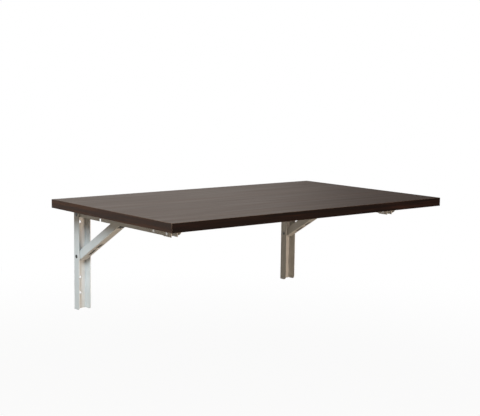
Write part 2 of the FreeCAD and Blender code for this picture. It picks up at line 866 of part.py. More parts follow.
def make_lever_spring(side, sign):
    """The torsion spring on the tip pin: one leg lies on the lever's pad, one hooks in the brace."""
    wire = SIZES["spring_wire_radius"]
    radius = SIZES["spring_radius"]
    reach = SIZES["spring_hook_reach"]
    bend = SIZES["spring_bend_radius"]
    lean = math.radians(SIZES["spring_leg_lean"])
    half_turns = round(SIZES["spring_turns"] * 2)

    # drawn with the coil along Z and the legs towards +X, then turned into the brace's frame
    rise = SIZES["spring_pitch"] / 2
    low = -rise * half_turns / 2
    coil = [half_turn(radius, low + rise * i, rise, i % 2 == 0, math.pi) for i in range(half_turns)]
    coil.append(half_turn(radius, low + rise * half_turns, rise, half_turns % 2 == 0, math.pi - lean))
    low_end = coil[0].value(coil[0].FirstParameter)
    high_end = coil[-1].value(coil[-1].LastParameter)

    corner = FreeCAD.Vector(reach, radius, low_end.z)
    hook_tip = FreeCAD.Vector(reach, radius, SIZES["brace_gauge"] / 2 - SIZES["brace_width"] / 2)
    bend_start = corner - FreeCAD.Vector(0, 0, bend)
    bend_end = corner - FreeCAD.Vector(bend, 0, 0)
    inset = bend * (1 - math.sqrt(0.5))
    bend_arc = Part.Arc(bend_start, corner - FreeCAD.Vector(inset, 0, inset), bend_end).toShape()
    hook_leg = [Part.makeLine(hook_tip, bend_start), bend_arc, Part.makeLine(bend_end, low_end)]

    pad_drop = SIZES["lever_pad_depth"] - SIZES["lever_gauge"] - wire - radius * math.cos(lean)
    pad_direction = coil[-1].tangent(coil[-1].LastParameter)[0]
    pad_leg = Part.makeLine(high_end, high_end + pad_direction * (pad_drop / math.sin(lean)))

    path = Part.Wire([*hook_leg, *(arc.toShape() for arc in coil), pad_leg])
    profile = Part.Face(Part.Wire(Part.makeCircle(wire, hook_tip, FreeCAD.Vector(0, 0, 1))))

    spring = document.addObject("Part::Feature", f"{side}_lever_spring")
    spring.Shape = path.makePipe(profile)
    place = FreeCAD.Vector(sign * SIZES["channel_spacing"] / 2, -tip_out.number, tip_up.number)
    coil_to_pin = FreeCAD.Rotation(FreeCAD.Vector(1, 1, 1), 120)
    tilt = FreeCAD.Rotation(FreeCAD.Vector(1, 0, 0), -math.degrees(math.asin(slope_sine.number)))
    spring.Placement = FreeCAD.Placement(place, tilt.multiply(coil_to_pin))


# ---------------------------------------------------------------- the whole table


def make_bracket(side, sign):
    """All the pieces of one folding bracket."""
    x = size["channel_spacing"] / 2 * sign
    make_wall_channel(side, x)
    make_arm_channel(side, x)
    make_lock_rail(side, x)
    make_rail_rivets(side, x)
    make_arm_screws(side, x)
    make_brace_channel(side, x)
    make_tip_pin(side, x)
    make_release_lever(side, x)
    make_lever_spring(side, sign)
    make_pivot(side, "arm", "washers", x, arm_pivot_up)
    make_pivot(side, "brace", "bushes", x, brace_pivot_up)


def make_pivot(side, limb, spacers, x, up):
    """The rivet, spacers and sleeve on which an arm or a brace turns in the wall channel."""
    label = f"{side}_{limb}_pivot"
    shank = size[f"{limb}_rivet_radius"]
    bore = shank + size["running_clearance"]
    width = size[f"{limb}_width"]
    half_inside = width / 2 - size[f"{limb}_gauge"] - size["side_clearance"]
    make_pivot_rivet(f"{label}_rivet", x, up, shank, size[f"{limb}_rivet_head_radius"])
    make_spacers(f"{label}_{spacers}", x, up, width, size[f"{limb}_spacer_radius"], bore)
    make_sleeve(f"{label}_sleeve", x, up, half_inside, size[f"{limb}_sleeve_radius"], bore)


def finished_pieces():
    """Every sub-part of the document: the bodies and the springs."""
    return [item for item in document.Objects if item.TypeId in ("PartDesign::Body", "Part::Feature")]


def check_document():
    """Stop if any object failed to build or any sub-part has no valid solid."""
    for item in document.Objects:
        if "Invalid" in item.State or "Error" in item.State:
            raise RuntimeError(f"{item.Label} failed: {item.State}")
    for piece in finished_pieces():
        if piece.Shape.isNull() or not piece.Shape.isValid() or not piece.Shape.Solids:
            raise RuntimeError(f"{piece.Label} has no valid solid")


document = FreeCAD.newDocument("wall_drop_leaf_table")
size = make_sheet()

# heights above the centre of the screw hole rectangle
channel_top = (size["top_hole_drop"] + size["bottom_hole_drop"]) / 2
underside = channel_top + size["channel_top_gap"]
arm_pivot_up = underside - size["arm_pivot_drop"]
brace_pivot_up = arm_pivot_up - size["brace_pivot_drop"]
core_thickness = size["board_thickness"] - size["laminate_thickness"] * 2
arm_bite = size["screw_length"] - size["arm_gauge"]
rail_bite = arm_bite - size["rail_gauge"]

# the triangle of pivots: the tip pin is locked above the line through the arm's pivot
tip_rise = size["brace_pivot_drop"] + size["lock_lift"]
locked_reach = root(size["brace_length"] * size["brace_length"] - tip_rise * tip_rise)
folded_reach = size["brace_pivot_drop"] + size["brace_length"]
slope_sine = tip_rise / size["brace_length"]
slope_cosine = locked_reach / size["brace_length"]
brace_tilt = f"-1 * asin({slope_sine.text})"
tip_out = size["pivot_reach"] + locked_reach
tip_up = brace_pivot_up + tip_rise

# the rail's rivets stand between the end of the pin's track and the arm's front end
arm_front = size["arm_length"] - size["arm_back"]
rail_rivet_up = size["arm_pivot_drop"] - size["rail_rivet_drop"]
rail_rivet_reaches = (
    folded_reach + size["rail_rivet_lead"],
    arm_front - size["rail_rivet_inset"],
)

make_tabletop_core()
make_laminates()
make_long_edge_bands()
make_short_edge_bands()
for side_name, side_sign in SIDES.items():
    make_bracket(side_name, side_sign)
document.recompute()
check_document()

os.makedirs("parts", exist_ok=True)
for piece in finished_pieces():
    piece.Shape.exportStep(os.path.join("parts", f"{piece.Label}.step"))
    print(f"{piece.Label}: {len(piece.Shape.Solids)} solids, {piece.Shape.Volume / 1000:.2f} cm3")
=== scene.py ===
"""Wall mounted drop leaf table: finishes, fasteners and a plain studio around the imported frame.

The frame holds the table in metres, +Z up, with the wall at Y = 0 and the front towards -Y.
The slab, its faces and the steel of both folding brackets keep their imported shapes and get
their finishes here. The edge bands are copies with rounded outer edges. The screws and rivets
are made by geometry nodes, with the marks that forming leaves on them.
"""

from __future__ import annotations

import json
import logging
import math
from dataclasses import dataclass, field, replace
from enum import Enum
from typing import Any

import bmesh
import bpy
from bpy.types import GeometryNodeTree, ID, Material, Node, NodeSocket, NodeTree, Object
from mathutils import Matrix, Vector

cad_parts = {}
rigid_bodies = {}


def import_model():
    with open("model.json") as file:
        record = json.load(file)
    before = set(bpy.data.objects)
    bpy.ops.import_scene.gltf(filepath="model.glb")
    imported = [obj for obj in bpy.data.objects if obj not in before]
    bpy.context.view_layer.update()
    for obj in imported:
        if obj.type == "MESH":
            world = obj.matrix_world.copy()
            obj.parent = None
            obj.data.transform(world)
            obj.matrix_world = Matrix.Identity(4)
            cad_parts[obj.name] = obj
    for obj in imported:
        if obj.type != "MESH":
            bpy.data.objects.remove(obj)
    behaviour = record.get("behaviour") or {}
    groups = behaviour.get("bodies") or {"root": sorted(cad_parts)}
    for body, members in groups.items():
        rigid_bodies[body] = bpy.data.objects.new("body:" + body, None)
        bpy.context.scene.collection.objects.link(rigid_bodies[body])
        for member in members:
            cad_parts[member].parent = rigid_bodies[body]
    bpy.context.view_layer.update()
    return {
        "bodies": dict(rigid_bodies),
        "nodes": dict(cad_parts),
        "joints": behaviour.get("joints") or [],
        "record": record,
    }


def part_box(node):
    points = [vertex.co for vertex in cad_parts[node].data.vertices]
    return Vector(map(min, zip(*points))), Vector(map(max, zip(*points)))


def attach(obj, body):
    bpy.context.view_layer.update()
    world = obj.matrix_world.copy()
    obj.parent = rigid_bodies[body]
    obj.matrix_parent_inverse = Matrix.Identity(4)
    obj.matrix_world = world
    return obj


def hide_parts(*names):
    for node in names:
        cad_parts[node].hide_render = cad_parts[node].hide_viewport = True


LOG = logging.getLogger("drop_leaf_table")
MM = 0.001

MATHS = "ShaderNodeMath"
VECTOR_MATHS = "ShaderNodeVectorMath"
XYZ = "ShaderNodeCombineXYZ"
MIX = "ShaderNodeMix"
MAP_RANGE = "ShaderNodeMapRange"
TRANSFORM = "GeometryNodeTransform"
MULTIPLY = {"operation": "MULTIPLY"}
MULTIPLY_ADD = {"operation": "MULTIPLY_ADD"}
SUBTRACT = {"operation": "SUBTRACT"}
DIVIDE = {"operation": "DIVIDE"}
MAXIMUM = {"operation": "MAXIMUM"}
WHITE = (1.0, 1.0, 1.0, 1.0)
# a vector times this keeps only its level part
FLATTEN = (1, 1, 0)
# the sockets at which a Mix node takes two colours, and the output that gives the mixed one
FIRST_COLOUR = 6
SECOND_COLOUR = 7
MIXED_COLOUR = 2
# a noise texture hardly ever leaves the values between these two
NOISE_LOW = 0.3
NOISE_HIGH = 0.7
# the usual refractive index of resins and paints, and the default one for metals
REFRACTIVE_INDEX = 1.5


class Side(Enum):
    """The two brackets, as seen from the front."""

    LEFT = "left"
    RIGHT = "right"


class Grain(Enum):
    """The direction in which a wood grain runs."""

    ALONG_X = "x"
    ALONG_Y = "y"


# ------ colours and nodes


def linear(code: str) -> tuple[float, float, float, float]:
    """Turn an sRGB colour into the linear one that shaders use.

    Args:
        code: six hex digits, such as "4b3833".

    Returns:
        Red, green and blue in linear light, and an alpha of 1.
    """
    values = []
    for start in (0, 2, 4):
        share = int(code[start : start + 2], 16) / 255
        low = share <= 0.04045
        values.append(share / 12.92 if low else ((share + 0.055) / 1.055) ** 2.4)
    return (values[0], values[1], values[2], 1.0)


def add_node(
    tree: NodeTree,
    kind: str,
    settings: dict[str, Any] | None = None,
    inputs: dict[str | int, Any] | None = None,
) -> Node:
    """Add a node to a tree with its settings and its links.

    Args:
        tree: the shader or geometry tree.
        kind: the node's type name.
        settings: values of the node's own properties. "stops" gives a ramp its colours.
        inputs: for each socket, by name or number, its value or what feeds it: a socket, a
            node (its first output) or a list of nodes.

    Returns:
        The new node.
    """
    node = tree.nodes.new(kind)
    for name, value in (settings or {}).items():
        if name == "stops":
            elements = node.color_ramp.elements
            while len(elements) < len(value):
                elements.new(0.5)
            for element, (position, code) in zip(elements, sorted(value.items())):
                element.position = position
                element.color = linear(code)
        else:
            setattr(node, name, value)
    for key, value in (inputs or {}).items():
        for source in value if isinstance(value, list) else [value]:
            if isinstance(source, Node):
                source = source.outputs[0]
            if isinstance(source, NodeSocket):
                tree.links.new(source, node.inputs[key])
            else:
                node.inputs[key].default_value = source
    return node


def new_material(name: str) -> tuple[Material, NodeTree]:
    """Make a material with an empty shader tree.

    Args:
        name: the material's name.

    Returns:
        The material and its tree.
    """
    material = bpy.data.materials.new(name)
    material.use_nodes = True
    material.node_tree.nodes.clear()
    return material, material.node_tree


def new_object(name: str, data: ID) -> Object:
    """Put a new object into the scene.

    Args:
        name: the object's name.
        data: its mesh, lamp or camera.

    Returns:
        The object.
    """
    made = bpy.data.objects.new(name, data)
    bpy.context.scene.collection.objects.link(made)
    return made


# ------ finishes


@dataclass(frozen=True)
class WoodPrint:
    """A printed dark wenge grain under an embossed satin skin.

    The print gives the eye long straight streaks, wider clouds of tone and short dark pores.
    The skin sinks a little over the pores, so the sheen is broken up along the grain. Where a
    trimmer has rounded an edge, the colour is paler: partly the print thinned by the trimmer, and
    partly a painted highlight of the light that a rounded edge catches.
    """

    name: str
    grain: Grain
    dark: str
    middle: str
    light: str
    pore: str
    trim_and_highlight: str
    roughness: float
    specular_level: float
    # each layer has the width of its streaks and a number of finer octaves
    streak_width: float = 14 * MM
    streak_detail: float = 6.0
    cloud_width: float = 70 * MM
    cloud_detail: float = 2.0
    cloud_share: float = 0.4
    # Real pores are about 0.3 mm wide. They are drawn wider, or they would not show.
    pore_width: float = 1.5 * MM
    pore_detail: float = 3.0
    # how many times longer than wide the streaks are, and how far they waver
    stretch: float = 24.0
    waver: float = 0.3
    # how far from the middle of the noise the dark and the light tone are reached
    tone_spread: float = 0.14
    # the values of the noise at which a pore starts and at which it is full
    pore_from: float = 0.56
    pore_to: float = 0.68
    pore_darkness: float = 0.7
    pore_depth: float = 0.12 * MM
    relief_strength: float = 0.35
    # how much smoother the skin is over dark streaks, and how much rougher over light ones
    smoother: float = 0.05
    rougher: float = 0.07
    # how square a surface stands to the board where the paler edge colour starts, and where it is
    # full; that colour is partly the print thinned by the trimmer and partly a painted highlight
    trim_and_highlight_from: float = 0.99
    trim_and_highlight_to: float = 0.8

    def layer(self, tree: NodeTree, place: Node, width: float, detail: float) -> Node:
        """Make one layer of the grain.

        Args:
            tree: the shader tree.
            place: the texture coordinates.
            width: how wide one streak of this layer is, in metres.
            detail: how many finer octaves the layer has.

        Returns:
            The noise node of the layer, drawn out along the grain.
        """
        across = 1 / width
        along = across / self.stretch
        repeats = (along, across) if self.grain is Grain.ALONG_X else (across, along)
        drawn_out = add_node(
            tree,
            "ShaderNodeMapping",
            {},
            {"Vector": place.outputs["Object"], "Scale": (*repeats, across)},
        )
        return add_node(
            tree,
            "ShaderNodeTexNoise",
            {},
            {"Vector": drawn_out, "Scale": 1.0, "Detail": detail, "Distortion": self.waver},
        )

    def trim_and_highlight_mask(self, tree: NodeTree, place: Node) -> Node:
        """Find the rounded edges: places that face none of the board's own directions.

        Args:
            tree: the shader tree.
            place: the texture coordinates.

        Returns:
            The node that gives 0 on flat faces and 1 in the middle of a rounded edge.
        """
        facing = add_node(
            tree, VECTOR_MATHS, {"operation": "ABSOLUTE"}, {0: place.outputs["Normal"]}
        )
        shares = add_node(tree, "ShaderNodeSeparateXYZ", {}, {0: facing}).outputs
        wider = add_node(tree, MATHS, MAXIMUM, {0: shares["X"], 1: shares["Y"]})
        squarest = add_node(tree, MATHS, MAXIMUM, {0: wider, 1: shares["Z"]})
        return add_node(
            tree,
            MAP_RANGE,
            {},
            {"Value": squarest, "From Min": self.trim_and_highlight_from, "From Max": self.trim_and_highlight_to},
        )

    def colour(self, tree: NodeTree, place: Node, streaks: Node, pores: Node) -> NodeSocket:
        """Mix the colour of the print.

        Args:
            tree: the shader tree.
            place: the texture coordinates.
            streaks: the layer of the streaks.
            pores: how dark the pores are, from 0 between them.

        Returns:
            The output that gives the colour.
        """
        clouds = self.layer(tree, place, self.cloud_width, self.cloud_detail)
        tone = add_node(
            tree, MIX, {"data_type": "FLOAT"}, {"Factor": self.cloud_share, "A": streaks, "B": clouds}
        )
        stops = {
            0.5 - self.tone_spread: self.dark,
            0.5: self.middle,
            0.5 + self.tone_spread: self.light,
        }
        wood = add_node(tree, "ShaderNodeValToRGB", {"stops": stops}, {"Fac": tone})
        porous = add_node(
            tree,
            MIX,
            {"data_type": "RGBA"},
            {"Factor": pores, FIRST_COLOUR: wood, SECOND_COLOUR: linear(self.pore)},
        )
        # rounded edges get a paler colour: partly the print thinned by the trimmer, partly a painted
        # highlight
        trim_and_highlight_print = add_node(
            tree,
            MIX,
            {"data_type": "RGBA"},
            {
                "Factor": self.trim_and_highlight_mask(tree, place),
                FIRST_COLOUR: porous.outputs[MIXED_COLOUR],
                SECOND_COLOUR: linear(self.trim_and_highlight),
            },
        )
        return trim_and_highlight_print.outputs[MIXED_COLOUR]

    def material(self) -> Material:
        """Make the material.

        Returns:
            The material, with its shader tree.
        """
        material, tree = new_material(self.name)
        place = add_node(tree, "ShaderNodeTexCoord")
        streaks = self.layer(tree, place, self.streak_width, self.streak_detail)
        pores = add_node(
            tree,
            MAP_RANGE,
            {},
            {
                "Value": self.layer(tree, place, self.pore_width, self.pore_detail),
                "From Min": self.pore_from,
                "From Max": self.pore_to,
                "To Max": self.pore_darkness,
            },
        )
        relief = add_node(
            tree,
            "ShaderNodeBump",
            {"invert": True},
            {"Height": pores, "Strength": self.relief_strength, "Distance": self.pore_depth},
        )
        sheen = add_node(
            tree,
            MAP_RANGE,
            {},
            {
                "Value": streaks,
                "From Min": NOISE_LOW,
                "From Max": NOISE_HIGH,
                "To Min": self.roughness - self.smoother,
                "To Max": self.roughness + self.rougher,
            },
        )
        surface = add_node(
            tree,
            "ShaderNodeBsdfPrincipled",
            {},
            {
                "Base Color": self.colour(tree, place, streaks, pores),
                "Roughness": sheen,
                "Normal": relief,
                "IOR": REFRACTIVE_INDEX,
                "Specular IOR Level": self.specular_level,
            },
        )
        add_node(tree, "ShaderNodeOutputMaterial", {}, {"Surface": surface})
        return material


# Melamine laminate on the faces: a printed wenge under a satin skin that shines at low angles.
FACE_LAMINATE = WoodPrint(
    name="wenge melamine laminate",
    grain=Grain.ALONG_X,
    dark="2e201a",
    middle="3a2a23",
    light="48362d",
    pore="201511",
    # paler colour for rounded edges, partly a painted highlight; the flat faces have none
    trim_and_highlight="5c483b",
    roughness=0.46,
    specular_level=0.5,
)
# Printed ABS band glued on the long edges and trimmed: darker and duller than the faces.
LONG_EDGE_BAND = WoodPrint(
    name="wenge ABS edge band, long edges",
    grain=Grain.ALONG_X,
    dark="130a07",
    middle="1f110c",
    light="3c2218",
    pore="140b08",
    # paler colour of the rounded edges: partly the print thinned by the trimmer, partly a painted
    # highlight
    trim_and_highlight="6c5647",
    roughness=0.6,
    specular_level=0.1,
    streak_width=8 * MM,
    tone_spread=0.1,
)
# The same band on the short edges, with its grain along them. Its tones are painted lighter and
# it is glossier than on the long edges: painted light on the board's ends.
SHORT_EDGE_BAND = replace(
    LONG_EDGE_BAND,
    name="wenge ABS edge band, short edges",
    grain=Grain.ALONG_Y,
    # lighter tones and more gloss than on the long edges: painted light on the board's ends
    dark="1c110c",
    middle="281811",
    light="40291d",
    # paler colour of the rounded edges: partly the print thinned by the trimmer, partly a painted
    # highlight
    trim_and_highlight="5a473b",
    specular_level=0.25,
)


@dataclass(frozen=True)
class Speckled:
    """A finish in two mottled tones with a fine relief.

    It covers coats, moulded parts, pressed wood and plated metal. What differs between them is
    the size of the mottle, the depth of the relief, the gloss and whether it is bare metal.
    """

    name: str
    tone: str
    mottle: str
    mottle_size: float
    relief_size: float
    relief_depth: float
    roughness: float
    sheen_spread: float = 0.05
    metallic: float = 0.0
    mottle_detail: float = 3.0
    # the values of the noise up to which the mottle is full and from which the tone is
    mottle_to: float = 0.34
    tone_from: float = 0.62
    relief_detail: float = 1.5
    relief_strength: float = 0.25

    def material(self) -> Material:
        """Make the material.

        Returns:
            The material, with its shader tree.
        """
        material, tree = new_material(self.name)
        place = add_node(tree, "ShaderNodeTexCoord").outputs["Object"]
        patches = add_node(
            tree,
            "ShaderNodeTexNoise",
            {},
            {"Vector": place, "Scale": 1 / self.mottle_size, "Detail": self.mottle_detail},
        )
        relief = add_node(
            tree,
            "ShaderNodeTexNoise",
            {},
            {"Vector": place, "Scale": 1 / self.relief_size, "Detail": self.relief_detail},
        )
        stops = {self.mottle_to: self.mottle, self.tone_from: self.tone}
        colour = add_node(tree, "ShaderNodeValToRGB", {"stops": stops}, {"Fac": patches})
        sheen = add_node(
            tree,
            MAP_RANGE,
            {},
            {
                "Value": patches,
                "From Min": NOISE_LOW,
                "From Max": NOISE_HIGH,
                "To Min": self.roughness + self.sheen_spread,
                "To Max": self.roughness - self.sheen_spread,
            },
        )
        bumps = add_node(
            tree,
            "ShaderNodeBump",
            {},
            {"Height": relief, "Strength": self.relief_strength, "Distance": self.relief_depth},
        )
        surface = add_node(
            tree,
            "ShaderNodeBsdfPrincipled",
            {},
            {
                "Base Color": colour,
                "Metallic": self.metallic,
                "Roughness": sheen,
                "Normal": bumps,
                "IOR": REFRACTIVE_INDEX,
            },
        )
        add_node(tree, "ShaderNodeOutputMaterial", {}, {"Surface": surface})
        return material


# Pressed wood chips and resin, seen only in the screw holes: pale flecks in a darker ground.
CHIPBOARD = Speckled(
    name="raw chipboard",
    tone="b59468",
    mottle="7d5f3d",
    mottle_size=4 * MM,
    relief_size=2 * MM,
    relief_depth=0.4 * MM,
    roughness=0.85,
)
# Polyester powder baked on pressed steel: a white satin skin with a faint orange peel.
POWDER_COAT = Speckled(
    name="white powder coated steel",
    tone="dadbdb",
    mottle="d4d5d4",
    mottle_size=45 * MM,
    relief_size=1.8 * MM,
    relief_depth=0.03 * MM,
    roughness=0.38,
)
# Steel pins in a dark passivated zinc: grey metal with a soft shine and faint stains.
DARK_PLATED_STEEL = Speckled(
    name="dark zinc plated steel",
    tone="5d6061",
    mottle="3e4142",
    mottle_size=1.5 * MM,
    relief_size=0.4 * MM,
    relief_depth=0.02 * MM,
    roughness=0.36,
    sheen_spread=0.08,
    metallic=1.0,
)
# Bright zinc on screws and rivets: clear metal that mirrors the room in a slightly milky way.
BRIGHT_PLATED_STEEL = replace(
    DARK_PLATED_STEEL,
    name="bright zinc plated steel",
    tone="c4c8ca",
    mottle="9a9fa1",
    roughness=0.3,
)
# Moulded nylon spacers: dull mid grey with a faint moulding grain.
GREY_NYLON = Speckled(
    name="moulded grey nylon",
    tone="6d6f70",
    mottle="606263",
    mottle_size=2 * MM,
    relief_size=0.5 * MM,
    relief_depth=0.03 * MM,
    roughness=0.5,
)
# Grey-green lacquer dipped on the stamped levers: dark, satin, a little thicker at its patches.
DARK_LACQUER = Speckled(
    name="grey-green lacquered steel",
    tone="434b48",
    mottle="373d3b",
    mottle_size=6 * MM,
    relief_size=1.2 * MM,
    relief_depth=0.03 * MM,
    roughness=0.42,
)


@dataclass(frozen=True)
class FinishSet:
    """Every finish of the table, made once and shared by its sub-assemblies."""

    face: Material = field(default_factory=FACE_LAMINATE.material)
    long_edge: Material = field(default_factory=LONG_EDGE_BAND.material)
    short_edge: Material = field(default_factory=SHORT_EDGE_BAND.material)
    chipboard: Material = field(default_factory=CHIPBOARD.material)
    coat: Material = field(default_factory=POWDER_COAT.material)
    dark_steel: Material = field(default_factory=DARK_PLATED_STEEL.material)
    bright_steel: Material = field(default_factory=BRIGHT_PLATED_STEEL.material)
    nylon: Material = field(default_factory=GREY_NYLON.material)
    lacquer: Material = field(default_factory=DARK_LACQUER.material)


# ------ fasteners


@dataclass
class FastenerTree:
    """A geometry tree that puts one fastener on every point, with named sizes in metres."""

    name: str
    sizes: dict[str, float]
    sharp_angle: float
    tree: GeometryNodeTree = field(init=False)
    sockets: dict[str, NodeSocket] = field(init=False)

    def __post_init__(self) -> None:
        """Make the tree: its named inputs, one fastener and a copy of it on every point."""
        self.tree = bpy.data.node_groups.new(self.name, "GeometryNodeTree")
        face = self.tree.interface
        face.new_socket("Geometry", in_out="OUTPUT", socket_type="NodeSocketGeometry")
        face.new_socket("Points", in_out="INPUT", socket_type="NodeSocketGeometry")
        face.new_socket("Finish", in_out="INPUT", socket_type="NodeSocketMaterial")
        for label, value in self.sizes.items():
            socket = face.new_socket(label, in_out="INPUT", socket_type="NodeSocketFloat")
            socket.default_value = value
        given = add_node(self.tree, "NodeGroupInput")
        self.sockets = {socket.name: socket for socket in given.outputs if socket.name}
        self.put_on_points(self.shape(), self.turn())

    def shape(self) -> Node:
        """Make one fastener that stands on the origin."""
        raise NotImplementedError

    def turn(self) -> Any:
        """Give the rotation of a fastener, or the node that makes it."""
        raise NotImplementedError

    def read_places(self) -> tuple[NodeSocket, Node, NodeSocket]:
        """Read where each vertex is, as seen from the Z axis.

        Returns:
            Its height, the direction away from the axis, and its reach from the axis.
        """
        tree = self.tree
        place = add_node(tree, "GeometryNodeInputPosition")
        height = add_node(tree, "ShaderNodeSeparateXYZ", {}, {0: place}).outputs["Z"]
        flat = add_node(tree, VECTOR_MATHS, MULTIPLY, {0: place, 1: FLATTEN})
        outward = add_node(tree, VECTOR_MATHS, {"operation": "NORMALIZE"}, {0: flat})
        reach = add_node(tree, VECTOR_MATHS, {"operation": "LENGTH"}, {0: flat}).outputs["Value"]
        return height, outward, reach

    def move_vertices(self, mesh: Node, outward: Node, reach: Any, height: Any) -> Node:
        """Move every vertex of a mesh.

        Args:
            mesh: the node of the mesh.
            outward: each vertex's direction away from the Z axis.
            reach: its new distance from the axis.
            height: its new height along the axis.

        Returns:
            The node of the moved mesh.
        """
        tree = self.tree
        around = add_node(tree, VECTOR_MATHS, {"operation": "SCALE"}, {0: outward, "Scale": reach})
        along = add_node(tree, XYZ, {}, {"Z": height})
        place = add_node(tree, VECTOR_MATHS, {"operation": "ADD"}, {0: around, 1: along})
        return add_node(tree, "GeometryNodeSetPosition", {}, {0: mesh, "Position": place})

    def dome_curve(self, reach: NodeSocket, power: float) -> tuple[Node, Node]:
        """Curve the flat cap of a disc of radius 1 into a dome, finely stepped at its rim.

        Args:
            reach: how far each vertex is from the axis.
            power: below 1, it makes the dome fuller than a quarter of an ellipse.

        Returns:
            The vertex's new reach and its height, both from 0 to 1.
        """
        tree = self.tree
        slope = add_node(tree, MATHS, MULTIPLY, {0: reach, 1: math.pi / 2})
        sine = add_node(tree, MATHS, {"operation": "SINE"}, {0: slope})
        cosine = add_node(tree, MATHS, {"operation": "COSINE"}, {0: slope})
        above = add_node(tree, MATHS, MAXIMUM, {0: cosine, 1: 0.0})
        return sine, add_node(tree, MATHS, {"operation": "POWER"}, {0: above, 1: power})

    def put_on_points(self, fastener: Node, turn: Any) -> None:
        """Put the fastener on every point and finish it.

        Args:
            fastener: the node that gives one fastener, standing on the origin.
            turn: its rotation, or the node that gives it.
        """
        tree = self.tree
        angle = add_node(tree, "GeometryNodeInputMeshEdgeAngle")
        crisp = add_node(
            tree, MATHS, {"operation": "GREATER_THAN"}, {0: angle, 1: self.sharp_angle}
        )
        smooth = add_node(
            tree, "GeometryNodeSetShadeSmooth", {"domain": "FACE"}, {0: fastener, "Shade Smooth": True}
        )
        creased = add_node(
            tree,
            "GeometryNodeSetShadeSmooth",
            {"domain": "EDGE"},
            {0: smooth, "Selection": crisp, "Shade Smooth": False},
        )
        placed = add_node(
            tree,
            "GeometryNodeInstanceOnPoints",
            {},
            {"Points": self.sockets["Points"], "Instance": creased, "Rotation": turn},
        )
        real = add_node(tree, "GeometryNodeRealizeInstances", {}, {0: placed})
        dressed = add_node(
            tree, "GeometryNodeSetMaterial", {}, {0: real, "Material": self.sockets["Finish"]}
        )
        add_node(tree, "NodeGroupOutput", {}, {0: dressed})

    def run(
        self, name: str, points: list[Vector], finish: Material, sizes: dict[str, float]
    ) -> Object:
        """Run the tree on points and keep the result as a plain mesh.

        Args:
            name: the piece's name.
            points: where the fasteners stand, in metres.
            finish: the material that the tree sets.
            sizes: the tree's size inputs, by name.

        Returns:
            The finished piece, at the origin.
        """
        marks = bpy.data.meshes.new(f"{name}_points")
        marks.from_pydata([tuple(point) for point in points], [], [])
        host = new_object(f"{name}_host", marks)
        modifier = host.modifiers.new("fasteners", "NODES")
        modifier.node_group = self.tree
        identifiers = {
            item.name: item.identifier
            for item in self.tree.interface.items_tree
            if item.item_type == "SOCKET" and item.in_out == "INPUT"
        }
        modifier[identifiers["Finish"]] = finish
        for label, value in sizes.items():
            modifier[identifiers[label]] = value
        graph = bpy.context.evaluated_depsgraph_get()
        mesh = bpy.data.meshes.new_from_object(host.evaluated_get(graph))
        mesh.name = name
        host.modifiers.remove(modifier)
        bpy.data.objects.remove(host)
        return new_object(name, mesh)


@dataclass
class RivetTree(FastenerTree):
    """Rivets along X, each with its middle on the point.

    One end is the domed factory head. The other is peened, with a shallow dimple from the tool.
    """

    name: str = "rivets"
    sizes: dict[str, float] = field(
        default_factory=lambda: {
            "Shank Radius": 2.5 * MM,
            "Head Radius": 4.5 * MM,
            "Head Height": 1.2 * MM,
            "Grip": 33 * MM,
        }
    )
    sharp_angle: float = math.radians(50)
    dome_power: float = 0.8
    # the blank reaches 1 to both sides of its middle, and beyond this it becomes a head
    head_start: float = 0.9
    # the dimple's width and depth, as shares of the head's radius and height
    dimple_width: float = 0.28
    dimple_depth: float = 0.35

    def shape(self) -> Node:
        """Reshape one cylinder: its end rings become the heads' rims, its caps their domes.

        Returns:
            The node of the rivet, along Z.
        """
        tree = self.tree
        blank = add_node(
            tree,
            "GeometryNodeMeshCylinder",
            {"fill_type": "TRIANGLE_FAN"},
            {"Vertices": 40, "Side Segments": 3, "Fill Segments": 9, "Radius": 1.0, "Depth": 2.0},
        )
        height, outward, reach = self.read_places()
        end = add_node(tree, MATHS, {"operation": "SIGN"}, {0: height})
        from_middle = add_node(tree, MATHS, {"operation": "ABSOLUTE"}, {0: height})
        on_head = add_node(
            tree, MATHS, {"operation": "GREATER_THAN"}, {0: from_middle, 1: self.head_start}
        )
        curved, rise = self.dome_curve(reach, self.dome_power)

        spread = add_node(tree, MATHS, DIVIDE, {0: reach, 1: self.dimple_width})
        square = add_node(tree, MATHS, {"operation": "POWER"}, {0: spread, 1: 2.0})
        fall = add_node(tree, MATHS, MULTIPLY, {0: square, 1: -1.0})
        dimple = add_node(tree, MATHS, {"operation": "EXPONENT"}, {0: fall})
        peened = add_node(tree, MATHS, {"operation": "LESS_THAN"}, {0: end, 1: 0.0})
        depth = add_node(tree, MATHS, MULTIPLY, {0: peened, 1: self.dimple_depth})
        sunk = add_node(tree, MATHS, MULTIPLY, {0: dimple, 1: depth})
        crown = add_node(tree, MATHS, SUBTRACT, {0: rise, 1: sunk})

        sizes = self.sockets
        dome = add_node(tree, MATHS, MULTIPLY, {0: crown, 1: sizes["Head Height"]})
        seat = add_node(tree, MATHS, MULTIPLY, {0: sizes["Grip"], 1: 0.5})
        top = add_node(tree, MATHS, MULTIPLY_ADD, {0: dome, 1: on_head, 2: seat})
        along = add_node(tree, MATHS, MULTIPLY, {0: top, 1: end})
        head = add_node(tree, MATHS, MULTIPLY, {0: curved, 1: sizes["Head Radius"]})
        radius = add_node(
            tree,
            MIX,
            {"data_type": "FLOAT"},
            {"Factor": on_head, "A": sizes["Shank Radius"], "B": head},
        )
        return self.move_vertices(blank, outward, radius, along)

    def turn(self) -> tuple[float, float, float]:
        """Lay the rivet down along X, with its peened end towards +X."""
        return (0.0, -math.pi / 2, 0.0)


